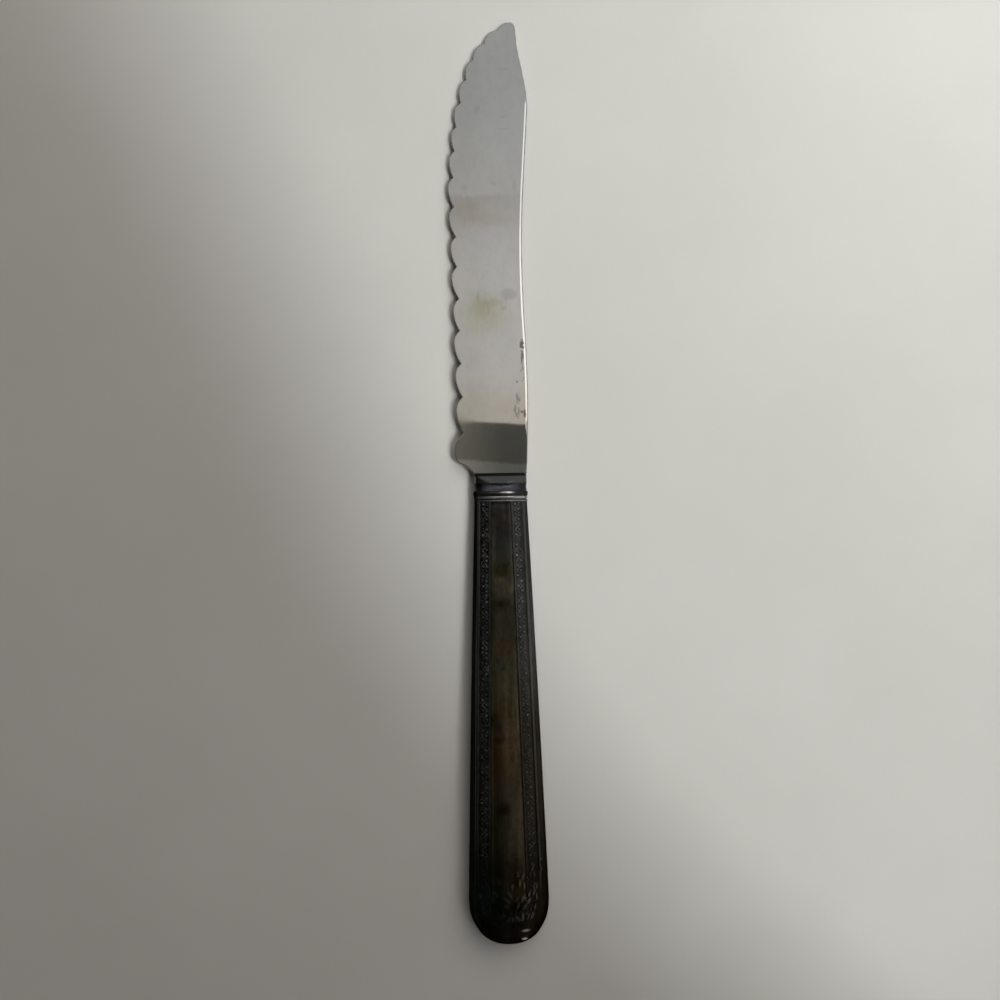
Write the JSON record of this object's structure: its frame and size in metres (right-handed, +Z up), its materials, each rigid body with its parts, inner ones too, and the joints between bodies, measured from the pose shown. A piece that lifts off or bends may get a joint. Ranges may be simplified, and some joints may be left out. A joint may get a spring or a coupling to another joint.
{
  "type": "cake knife",
  "caption": "Cake knife with a thin steel blade, graduated scalloped edge and clipped tip, and a hollow tapered handle with a beaded collar and ornamented side bands.",
  "frame": {"origin": "on the handle's long axis seen from above, midway along the knife's overall length, at the level of the lowest point of the handle's underside", "axes": "+Y along the knife towards the tip, +X across the blade towards the spine, +Z up out of the face that the picture shows"},
  "size_m": [0.023, 0.2446, 0.0124],
  "materials": {
    "blade_steel": "polished",
    "bolster_plate": "satin",
    "handle_plate": "satin",
    "solder": "matte",
    "cement": "matte"
  },
  "bodies": {
    "root": {"blade": "blade_steel", "bolster": "bolster_plate", "handle_front_shell": "handle_plate", "handle_back_shell": "handle_plate", "seam_solder": "solder", "mouth_solder": "solder", "tang_solder": "solder", "tang_cement": "cement"}
  },
  "joints": []
}
